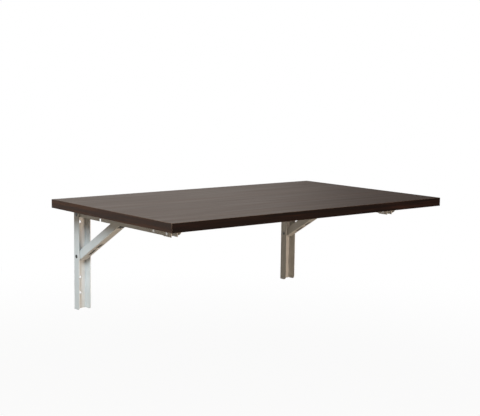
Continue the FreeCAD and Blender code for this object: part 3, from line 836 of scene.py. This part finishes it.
@dataclass
class WoodScrewTree(FastenerTree):
    """Pan-head wood screws that point up, each with the underside of its head on the point."""

    name: str = "wood screws"
    sizes: dict[str, float] = field(
        default_factory=lambda: {
            "Head Radius": 4.2 * MM,
            "Head Height": 2.2 * MM,
            "Shank Radius": 2 * MM,
            "Shank Length": 16 * MM,
            "Thread Pitch": 1.8 * MM,
            "Point Length": 4 * MM,
            "Recess Span": 4.6 * MM,
            "Recess Width": 1.1 * MM,
            "Recess Depth": 1.5 * MM,
        }
    )
    sharp_angle: float = math.radians(38)
    # far below 1, the power makes the pan head flat with a rounded rim
    head_power: float = 0.55
    rim_height: float = 0.2 * MM
    # the depth of the thread, as a share of the shank's radius
    thread_depth: float = 0.32
    # the span of the recess at its bottom, as a share of its span at the top
    recess_taper: float = 0.8
    seed: int = 7

    def head(self) -> Node:
        """Draw the lower cap of a disc down into a pan head.

        Returns:
            The node of the head.
        """
        tree, sizes = self.tree, self.sockets
        blank = add_node(
            tree,
            "GeometryNodeMeshCylinder",
            {"fill_type": "TRIANGLE_FAN"},
            {"Vertices": 48, "Side Segments": 1, "Fill Segments": 10, "Radius": 1.0, "Depth": 2.0},
        )
        height, outward, reach = self.read_places()
        below = add_node(tree, MATHS, {"operation": "LESS_THAN"}, {0: height, 1: 0.0})
        curved, drop = self.dome_curve(reach, self.head_power)
        dome = add_node(tree, MATHS, MULTIPLY, {0: drop, 1: sizes["Head Height"]})
        full = add_node(tree, MATHS, MAXIMUM, {0: dome, 1: self.rim_height})
        down = add_node(tree, MATHS, MULTIPLY, {0: full, 1: below})
        level = add_node(tree, MATHS, MULTIPLY, {0: down, 1: -1.0})
        radius = add_node(tree, MATHS, MULTIPLY, {0: curved, 1: sizes["Head Radius"]})
        return self.move_vertices(blank, outward, radius, level)

    def recess(self) -> list[Node]:
        """Make the two crossing wings of the recess, which get narrower towards their bottom.

        Returns:
            The nodes of both wings.
        """
        tree, sizes = self.tree, self.sockets
        # a four-sided cone with corners at this radius has sides as long as the span
        corner = add_node(tree, MATHS, MULTIPLY, {0: sizes["Recess Span"], 1: math.sqrt(0.5)})
        bottom = add_node(tree, MATHS, MULTIPLY, {0: corner, 1: self.recess_taper})
        depth = sizes["Recess Depth"]
        wing = add_node(
            tree,
            "GeometryNodeMeshCone",
            {},
            {"Vertices": 4, "Radius Top": bottom, "Radius Bottom": corner, "Depth": depth},
        )
        squared = add_node(tree, TRANSFORM, {}, {0: wing, "Rotation": (0.0, 0.0, math.pi / 4)})
        slimness = add_node(
            tree, MATHS, DIVIDE, {0: sizes["Recess Width"], 1: sizes["Recess Span"]}
        )
        slim = add_node(tree, XYZ, {}, {"X": 1.0, "Y": slimness, "Z": 1.0})
        low = add_node(tree, MATHS, MULTIPLY, {0: sizes["Head Height"], 1: -1.0})
        sunk = add_node(tree, XYZ, {}, {"Z": low})
        first = add_node(tree, TRANSFORM, {}, {0: squared, "Scale": slim, "Translation": sunk})
        second = add_node(tree, TRANSFORM, {}, {0: first, "Rotation": (0.0, 0.0, math.pi / 2)})
        return [first, second]

    def shank(self) -> Node:
        """Cut a thread into a rod: its radius rises and falls once in every turn and pitch.

        Returns:
            The node of the threaded shank.
        """
        tree, sizes = self.tree, self.sockets
        length = sizes["Shank Length"]
        rod = add_node(
            tree,
            "GeometryNodeMeshCylinder",
            {"fill_type": "TRIANGLE_FAN"},
            {"Vertices": 20, "Side Segments": 72, "Fill Segments": 1, "Radius": 1.0, "Depth": length},
        )
        half = add_node(tree, MATHS, MULTIPLY, {0: length, 1: 0.5})
        lift = add_node(tree, XYZ, {}, {"Z": half})
        raised = add_node(tree, TRANSFORM, {}, {0: rod, "Translation": lift})

        height, outward, reach = self.read_places()
        axes = add_node(tree, "ShaderNodeSeparateXYZ", {}, {0: outward}).outputs
        angle = add_node(tree, MATHS, {"operation": "ARCTAN2"}, {0: axes["Y"], 1: axes["X"]})
        turns = add_node(tree, MATHS, DIVIDE, {0: height, 1: sizes["Thread Pitch"]})
        along = add_node(tree, MATHS, MULTIPLY_ADD, {0: angle, 1: -1 / math.tau, 2: turns})
        phase = add_node(tree, MATHS, {"operation": "FRACT"}, {0: along})
        wave = add_node(tree, MATHS, MULTIPLY_ADD, {0: phase, 1: 2.0, 2: -1.0})
        ridge = add_node(tree, MATHS, {"operation": "ABSOLUTE"}, {0: wave})
        valley = add_node(tree, MATHS, SUBTRACT, {0: 1.0, 1: ridge})
        cut = add_node(tree, MATHS, MULTIPLY, {0: valley, 1: self.thread_depth})
        share = add_node(tree, MATHS, SUBTRACT, {0: 1.0, 1: cut})
        thread = add_node(tree, MATHS, MULTIPLY, {0: share, 1: sizes["Shank Radius"]})

        ahead = add_node(tree, MATHS, SUBTRACT, {0: length, 1: height})
        taper = add_node(tree, MATHS, DIVIDE, {0: ahead, 1: sizes["Point Length"]})
        point = add_node(tree, MATHS, {"operation": "MINIMUM"}, {0: taper, 1: 1.0})
        pointed = add_node(tree, MATHS, MULTIPLY, {0: thread, 1: point})
        radius = add_node(tree, MATHS, MULTIPLY, {0: reach, 1: pointed})
        return self.move_vertices(raised, outward, radius, height)

    def shape(self) -> Node:
        """Join the recessed head and the threaded shank, which starts inside the head.

        Returns:
            The node of the screw, along Z.
        """
        cut = add_node(
            self.tree,
            "GeometryNodeMeshBoolean",
            {"operation": "DIFFERENCE"},
            {"Mesh 1": self.head(), "Mesh 2": self.recess()},
        )
        return add_node(self.tree, "GeometryNodeJoinGeometry", {}, {0: [cut, self.shank()]})

    def turn(self) -> Node:
        """Stop every screw at its own angle, always the same from run to run."""
        return add_node(
            self.tree,
            "FunctionNodeRandomValue",
            {"data_type": "FLOAT_VECTOR"},
            {"Min": (0.0, 0.0, 0.0), "Max": (0.0, 0.0, math.tau), "Seed": self.seed},
        )


# ------ sub-assemblies


def dress(frame: dict[str, Any], node: str, finish: Material) -> None:
    """Give a node of the frame its finish.

    Args:
        frame: the loaded frame.
        node: the node's name.
        finish: the material for all of its slots.
    """
    for place in frame["nodes"][node].material_slots:
        place.material = finish
    LOG.info("%s: %s", node, finish.name)


def install(piece: Object, body: str, node: str) -> None:
    """Put a made piece in the place of a node.

    Args:
        piece: the made piece.
        body: the body that it moves with.
        node: the node that it stands for.
    """
    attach(piece, body)
    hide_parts(node)
    LOG.info("%s: %d faces, rides on %s", piece.name, len(piece.data.polygons), body)


@dataclass
class Board:
    """The laminated board: a chipboard slab, two laminate faces and four edge bands."""

    frame: dict[str, Any]
    finishes: FinishSet
    faces: tuple[str, ...] = ("top_laminate", "bottom_laminate")
    long_bands: tuple[str, ...] = ("front_edge_band", "back_edge_band")
    short_bands: tuple[str, ...] = ("left_edge_band", "right_edge_band")
    # the trimmer rounds the outer edges of the bands, which then catch the light
    band_edge_radius: float = 1 * MM
    band_edge_segments: int = 4
    # places closer than this are one, and faces that meet at less than this angle are one
    tolerance: float = 0.01 * MM
    flat_angle: float = math.radians(1)

    def outer_edges(self, mesh: bmesh.types.BMesh) -> list[bmesh.types.BMEdge]:
        """Find the edges of a band that are also edges of the whole board.

        Args:
            mesh: the band's merged mesh.

        Returns:
            The edges whose two ends share two outer faces of the board.
        """
        boxes = [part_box(node) for node in (*self.faces, *self.long_bands, *self.short_bands)]
        low = [min(box[0][axis] for box in boxes) for axis in range(3)]
        high = [max(box[1][axis] for box in boxes) for axis in range(3)]
        found = []
        for edge in mesh.edges:
            first, second = (vertex.co for vertex in edge.verts)
            shared = [
                axis
                for axis in range(3)
                for corner in (low, high)
                if abs(first[axis] - corner[axis]) < self.tolerance
                and abs(second[axis] - corner[axis]) < self.tolerance
            ]
            if len(shared) == 2:
                found.append(edge)
        return found

    def round_band(self, node: str, finish: Material) -> None:
        """Put a copy of an edge band with rounded outer edges in its place.

        Args:
            node: the band's node.
            finish: its material.
        """
        merged = bmesh.new()
        merged.from_mesh(self.frame["nodes"][node].data)
        bmesh.ops.remove_doubles(merged, verts=merged.verts, dist=self.tolerance)
        bmesh.ops.dissolve_limit(
            merged, angle_limit=self.flat_angle, verts=merged.verts, edges=merged.edges
        )
        bmesh.ops.bevel(
            merged,
            geom=self.outer_edges(merged),
            offset=self.band_edge_radius,
            segments=self.band_edge_segments,
            profile=0.5,
            affect="EDGES",
        )
        low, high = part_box(node)
        for vertex in merged.verts:
            # the bevel's rounding errors stay inside the band's own box
            for axis in range(3):
                vertex.co[axis] = min(max(vertex.co[axis], low[axis]), high[axis])
        name = f"{node}_rounded"
        mesh = bpy.data.meshes.new(name)
        merged.to_mesh(mesh)
        merged.free()
        mesh.materials.append(finish)
        install(new_object(name, mesh), "leaf", node)

    def build(self) -> None:
        """Dress the board, each band's grain along it, with painted light on the short bands."""
        dress(self.frame, "tabletop_core", self.finishes.chipboard)
        for node in self.faces:
            dress(self.frame, node, self.finishes.face)
        for node in self.long_bands:
            self.round_band(node, self.finishes.long_edge)
        for node in self.short_bands:
            self.round_band(node, self.finishes.short_edge)


@dataclass
class Bracket:
    """One folding bracket: its sheet steel, its pins, its lever and its fasteners."""

    frame: dict[str, Any]
    finishes: FinishSet
    side: Side
    rivets: FastenerTree
    screws: FastenerTree
    pivot_head_height: float = 2.2 * MM
    arm_shank_radius: float = 4 * MM
    brace_shank_radius: float = 3 * MM
    rail_head_height: float = 1.2 * MM
    rail_shank_radius: float = 2.5 * MM
    screw_head_height: float = 2.2 * MM
    # where each arm screw stands: its reach from the wall and the height of its seat
    screw_seats: tuple[tuple[float, float], ...] = (
        (45 * MM, 152.5 * MM),
        (175 * MM, 152.5 * MM),
        (315 * MM, 150.5 * MM),
        (440 * MM, 150.5 * MM),
    )

    def node(self, name: str) -> str:
        """Give a node of this bracket its full name."""
        return f"{self.side.value}_{name}"

    def dress_packed_parts(self) -> None:
        """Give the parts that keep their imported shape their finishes."""
        parts = (
            (self.finishes.coat, ("wall_channel", "arm_channel", "lock_rail", "brace_channel")),
            (self.finishes.nylon, ("arm_pivot_washers", "arm_pivot_sleeve")),
            (self.finishes.nylon, ("brace_pivot_bushes", "brace_pivot_sleeve")),
            (self.finishes.bright_steel, ("tip_pin", "lever_spring")),
            (self.finishes.lacquer, ("release_lever",)),
        )
        for finish, names in parts:
            for name in names:
                dress(self.frame, self.node(name), finish)

    def rivet_sizes(self, node: str, shank_radius: float, head_height: float) -> dict[str, float]:
        """Size the rivets of a node so that they fill its box.

        Args:
            node: the node's name.
            shank_radius: the radius of a shank.
            head_height: the height of a head.

        Returns:
            The size inputs of the rivet tree, by name.
        """
        low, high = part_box(node)
        return {
            "Shank Radius": shank_radius,
            "Head Radius": (high.z - low.z) / 2,
            "Head Height": head_height,
            "Grip": high.x - low.x - head_height * 2,
        }

    def make_pivot(self, name: str, shank_radius: float) -> None:
        """Make the rivet of a hinge between the wall channel and a moving channel.

        Args:
            name: the rivet's node, without its side.
            shank_radius: the radius of its shank.
        """
        node = self.node(name)
        low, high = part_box(node)
        sizes = self.rivet_sizes(node, shank_radius, self.pivot_head_height)
        piece = self.rivets.run(f"{node}_domed", [(low + high) / 2], self.finishes.dark_steel, sizes)
        install(piece, "wall", node)

    def make_rail_rivets(self) -> None:
        """Make the two rivets that hold the rail in the arm."""
        node = self.node("rail_rivets")
        low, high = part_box(node)
        middle = (low + high) / 2
        sizes = self.rivet_sizes(node, self.rail_shank_radius, self.rail_head_height)
        reaches = (low.y + sizes["Head Radius"], high.y - sizes["Head Radius"])
        points = [Vector((middle.x, reach, middle.z)) for reach in reaches]
        piece = self.rivets.run(f"{node}_domed", points, self.finishes.bright_steel, sizes)
        install(piece, "leaf", node)

    def make_arm_screws(self) -> None:
        """Make the screws that hold the arm under the board."""
        node = self.node("arm_screws")
        low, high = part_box(node)
        middle_x = (low.x + high.x) / 2
        points = [Vector((middle_x, -reach, seat)) for reach, seat in self.screw_seats]
        sizes = {"Head Radius": (high.x - low.x) / 2, "Head Height": self.screw_head_height}
        piece = self.screws.run(f"{node}_threaded", points, self.finishes.bright_steel, sizes)
        install(piece, "leaf", node)

    def build(self) -> None:
        """Dress the bracket and make its fasteners."""
        self.dress_packed_parts()
        self.make_pivot("arm_pivot_rivet", self.arm_shank_radius)
        self.make_pivot("brace_pivot_rivet", self.brace_shank_radius)
        self.make_rail_rivets()
        self.make_arm_screws()


# ------ studio


@dataclass(frozen=True)
class Lamp:
    """A soft rectangular lamp that shines at one point. Surfaces may mirror it or not."""

    name: str
    place: tuple[float, float, float]
    aim: tuple[float, float, float]
    width: float
    height: float
    power: float
    colour: str
    mirrored: bool = True

    def build(self) -> None:
        """Make the lamp."""
        data = bpy.data.lights.new(self.name, "AREA")
        data.shape = "RECTANGLE"
        data.size = self.width
        data.size_y = self.height
        data.energy = self.power
        data.color = linear(self.colour)[:3]
        lamp = new_object(self.name, data)
        lamp.location = self.place
        direction = Vector(self.aim) - Vector(self.place)
        lamp.rotation_euler = direction.to_track_quat("-Z", "Y").to_euler()
        lamp.visible_glossy = self.mirrored


# The mirrored part of the daylight. All of it mirrored would make the table top glare.
WINDOW_LAMP = Lamp(
    name="window lamp",
    place=(-3.45, -3.05, 2.75),
    aim=(0.0, -0.3, 0.1),
    width=2.0,
    height=2.0,
    power=64.0,
    colour="e8f6fc",
)
# The rest of the daylight, which lights the table but is mirrored by nothing.
KEY_LAMP = replace(WINDOW_LAMP, name="key lamp", power=258.0, mirrored=False)
# Warm light of the room. It stays below the table top, which would mirror it towards the wall.
FILL_LAMP = Lamp(
    name="fill lamp",
    place=(0.45, -4.1, -0.15),
    aim=(0.3, -0.2, 0.0),
    width=1.2,
    height=0.5,
    power=64.0,
    colour="ffe6cf",
)


@dataclass(frozen=True)
class RoomLight:
    """Light of the room all around, whose colour depends on the direction it comes from."""

    side: tuple[float, float, float]
    # its colours by the direction, from the far side (0) round to its own side (1)
    stops: dict[float, str]

    def build(self, tree: NodeTree) -> Node:
        """Add the light to the world's tree.

        Args:
            tree: the world's tree.

        Returns:
            The background node.
        """
        direction = add_node(tree, "ShaderNodeTexCoord").outputs["Generated"]
        along = add_node(
            tree, VECTOR_MATHS, {"operation": "DOT_PRODUCT"}, {0: direction, 1: self.side}
        ).outputs["Value"]
        share = add_node(tree, MATHS, MULTIPLY_ADD, {0: along, 1: 0.5, 2: 0.5})
        colour = add_node(tree, "ShaderNodeValToRGB", {"stops": self.stops}, {"Fac": share})
        return add_node(tree, "ShaderNodeBackground", {}, {"Color": colour, "Strength": 1.0})


# What falls on surfaces is dim and warm, but for a pale wall behind and to the right.
WALL_LIGHT = RoomLight(side=(0.6, 0.8, 0.0), stops={0.725: "3e352c", 0.9: "f3f0ec"})
# What surfaces mirror is bright on the left behind the table.
REFLECTIONS = RoomLight(
    side=(-0.731, 0.682, 0.0),
    stops={0.0: "8a8581", 0.3: "6b6764", 0.44: "464341", 0.485: "625e5b", 0.51: "f6ece3"},
)


@dataclass(frozen=True)
class Studio:
    """A white room: cool daylight, a warm low fill, a warm pale floor, and a camera."""

    # the floor lies at the usual distance under a table top
    top_height: float = 750 * MM
    floor_span: float = 24.0
    floor_colour: str = "95846e"
    # how white the floor looks to the eye, under the table and beyond a distance from it
    floor_white_near: float = 0.95
    floor_white_far: float = 1.0
    floor_near: float = 0.8
    floor_far: float = 2.8
    wall_light: RoomLight = WALL_LIGHT
    reflections: RoomLight = REFLECTIONS
    lamps: tuple[Lamp, ...] = (WINDOW_LAMP, KEY_LAMP, FILL_LAMP)
    # where the camera stands, its turns in degrees and its lens in millimetres
    camera_place: tuple[float, float, float] = (-2.0115, -2.7273, 0.5518)
    camera_yaw: float = 39.092
    camera_pitch: float = 7.262
    camera_roll: float = 0.732
    camera_lens: float = 80.18

    def build_room(self) -> None:
        """Make the world: white to the eye, with its own light and its own reflections."""
        world = bpy.data.worlds.new("white room")
        world.use_nodes = True
        tree = world.node_tree
        tree.nodes.clear()
        light = self.wall_light.build(tree)
        mirrored = self.reflections.build(tree)
        white = add_node(tree, "ShaderNodeBackground", {}, {"Color": WHITE, "Strength": 1.0})
        rays = add_node(tree, "ShaderNodeLightPath").outputs
        shining = add_node(
            tree, MATHS, MAXIMUM, {0: rays["Is Glossy Ray"], 1: rays["Is Transmission Ray"]}
        )
        lit = add_node(tree, "ShaderNodeMixShader", {}, {0: shining, 1: light, 2: mirrored})
        room = add_node(tree, "ShaderNodeMixShader", {}, {0: rays["Is Camera Ray"], 1: lit, 2: white})
        add_node(tree, "ShaderNodeOutputWorld", {}, {"Surface": room})
        bpy.context.scene.world = world

    def floor_material(self) -> Material:
        """Make the floor's material: nearly white to the eye, with a faint shadow left on it.

        Returns:
            The material.
        """
        material, tree = new_material("pale floor")
        matt = add_node(tree, "ShaderNodeBsdfDiffuse", {}, {"Color": linear(self.floor_colour)})
        white = add_node(tree, "ShaderNodeEmission", {}, {"Color": WHITE, "Strength": 1.0})
        place = add_node(tree, "ShaderNodeTexCoord").outputs["Object"]
        flat = add_node(tree, VECTOR_MATHS, MULTIPLY, {0: place, 1: FLATTEN})
        distance = add_node(tree, VECTOR_MATHS, {"operation": "LENGTH"}, {0: flat})
        whiteness = add_node(
            tree,
            MAP_RANGE,
            {"interpolation_type": "SMOOTHSTEP"},
            {
                "Value": distance.outputs["Value"],
                "From Min": self.floor_near,
                "From Max": self.floor_far,
                "To Min": self.floor_white_near,
                "To Max": self.floor_white_far,
            },
        )
        seen = add_node(tree, "ShaderNodeLightPath").outputs["Is Camera Ray"]
        share = add_node(tree, MATHS, MULTIPLY, {0: seen, 1: whiteness})
        mixed = add_node(tree, "ShaderNodeMixShader", {}, {0: share, 1: matt, 2: white})
        # from below the floor lets the eye through to the underside of the table
        clear = add_node(tree, "ShaderNodeBsdfTransparent")
        below = add_node(tree, "ShaderNodeNewGeometry").outputs["Backfacing"]
        floor = add_node(tree, "ShaderNodeMixShader", {}, {0: below, 1: mixed, 2: clear})
        add_node(tree, "ShaderNodeOutputMaterial", {}, {"Surface": floor})
        return material

    def build_floor(self) -> None:
        """Make the pale floor. Surfaces mirror the white room in its place."""
        half = self.floor_span / 2
        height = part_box("top_laminate")[1].z - self.top_height
        corners = [(-half, -half), (half, -half), (half, half), (-half, half)]
        mesh = bpy.data.meshes.new("floor")
        mesh.from_pydata([(x, y, height) for x, y in corners], [], [(0, 1, 2, 3)])
        mesh.materials.append(self.floor_material())
        floor = new_object("floor", mesh)
        floor.visible_glossy = False
        floor.visible_transmission = False

    def build_camera(self) -> None:
        """Make the camera, a little above the board and to its left."""
        data = bpy.data.cameras.new("camera")
        data.lens = self.camera_lens
        camera = new_object("camera", data)
        camera.matrix_world = (
            Matrix.Translation(self.camera_place)
            @ Matrix.Rotation(-math.radians(self.camera_yaw), 4, "Z")
            @ Matrix.Rotation(math.radians(90 - self.camera_pitch), 4, "X")
            @ Matrix.Rotation(math.radians(self.camera_roll), 4, "Z")
        )
        bpy.context.scene.camera = camera

    def build(self) -> None:
        """Make the whole studio."""
        self.build_room()
        self.build_floor()
        self.build_camera()
        for lamp in self.lamps:
            lamp.build()
        bpy.context.scene.view_settings.view_transform = "Standard"


def main() -> None:
    """Load the frame, dress the board and the brackets, and build the studio."""
    logging.basicConfig(level=logging.INFO, format="%(name)s: %(message)s")
    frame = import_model()
    finishes = FinishSet()
    rivets = RivetTree()
    screws = WoodScrewTree()
    Board(frame, finishes).build()
    for side in Side:
        Bracket(frame, finishes, side, rivets, screws).build()
    Studio().build()


if __name__ == "__main__":
    main()
